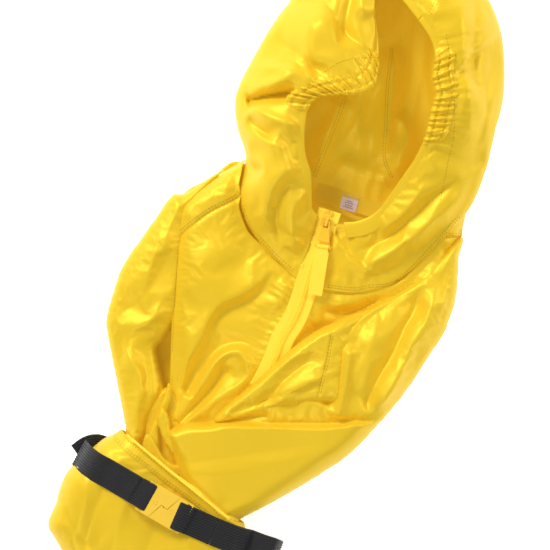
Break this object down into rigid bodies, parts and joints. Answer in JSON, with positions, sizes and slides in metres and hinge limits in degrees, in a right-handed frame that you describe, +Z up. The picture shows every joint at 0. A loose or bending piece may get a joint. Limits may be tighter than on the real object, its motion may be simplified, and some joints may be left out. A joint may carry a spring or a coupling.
{
  "type": "packable hooded rain jacket",
  "caption": "Child's glossy nylon hooded rain jacket lying on its back, half stowed in its own belt pouch, with front zip, elastic belt and hook clasp.",
  "frame": {"origin": "middle of the footprint, on the floor that the jacket lies on", "axes": "+Y from the pouch towards the crown of the hood, +Z up from the floor, +X to the right as seen from above"},
  "size_m": [0.4814, 0.7256, 0.0922],
  "materials": {
    "nylon": "glossy coated nylon",
    "zip_tape": "woven polyester",
    "zip_paint": "satin enamel",
    "clasp": "satin",
    "belt_webbing": "ribbed elastic webbing",
    "elastic": "knitted elastic",
    "label": "satin ribbon"
  },
  "bodies": {
    "jacket": {"hood_left_panel": "nylon", "hood_right_panel": "nylon", "hood_centre_panel": "nylon", "back_neck_yoke": "nylon", "hood_hem_left": "nylon", "hood_hem_brow": "nylon", "hood_hem_right": "nylon", "hood_elastic_left": "elastic", "hood_elastic_right": "elastic", "back_panel": "nylon", "front_left_panel": "nylon", "front_right_panel": "nylon", "shoulder_yoke_left": "nylon", "shoulder_yoke_right": "nylon", "sleeve_left": "nylon", "sleeve_right": "nylon", "right_side_fold": "nylon", "neck_tape": "nylon", "hanger_loop": "nylon", "size_label": "label", "zip_tape_left": "zip_tape", "zip_tape_right": "zip_tape", "zip_coil_left": "zip_tape", "zip_coil_right": "zip_tape", "zip_top_stop_left": "zip_paint", "zip_top_stop_right": "zip_paint", "pouch_front": "nylon", "pouch_back": "nylon", "packed_sleeve_left": "nylon", "packed_skirt": "nylon", "packed_sleeve_right": "nylon", "pouch_zip_tape_front": "zip_tape", "pouch_zip_coil_front": "zip_tape", "clasp_half_left": "clasp", "belt_left": "belt_webbing", "belt_right": "belt_webbing"},
    "zip_slider": {"zip_slider": "zip_paint"},
    "zip_pull": {"zip_pull": "zip_paint"},
    "zip_pull_tab": {"zip_pull_tab": "zip_tape"},
    "belt_lead": {"clasp_half_right": "clasp", "belt_lead": "belt_webbing"}
  },
  "joints": [
    {"name": "zip_slide", "type": "slide", "parent": "jacket", "child": "zip_slider", "axis": [-0.3038, -0.9527, 0], "range_m": [0, 0.03]},
    {"name": "zip_pull_swing", "type": "hinge", "parent": "zip_slider", "child": "zip_pull", "pos_m": [0.05309, 0.06654, 0.0455], "axis": [-0.9877, 0.1564, 0], "range_deg": [0, 150]},
    {"name": "zip_pull_tab_swing", "type": "hinge", "parent": "zip_pull", "child": "zip_pull_tab", "pos_m": [0.04896, 0.04046, 0.0455], "axis": [-0.9877, 0.1564, 0], "range_deg": [0, 45]},
    {"name": "clasp_lift", "type": "hinge", "parent": "jacket", "child": "belt_lead", "pos_m": [-0.06375, -0.26109, 0.0633], "axis": [0.506, 0.8625, 0], "range_deg": [0, 35]}
  ]
}
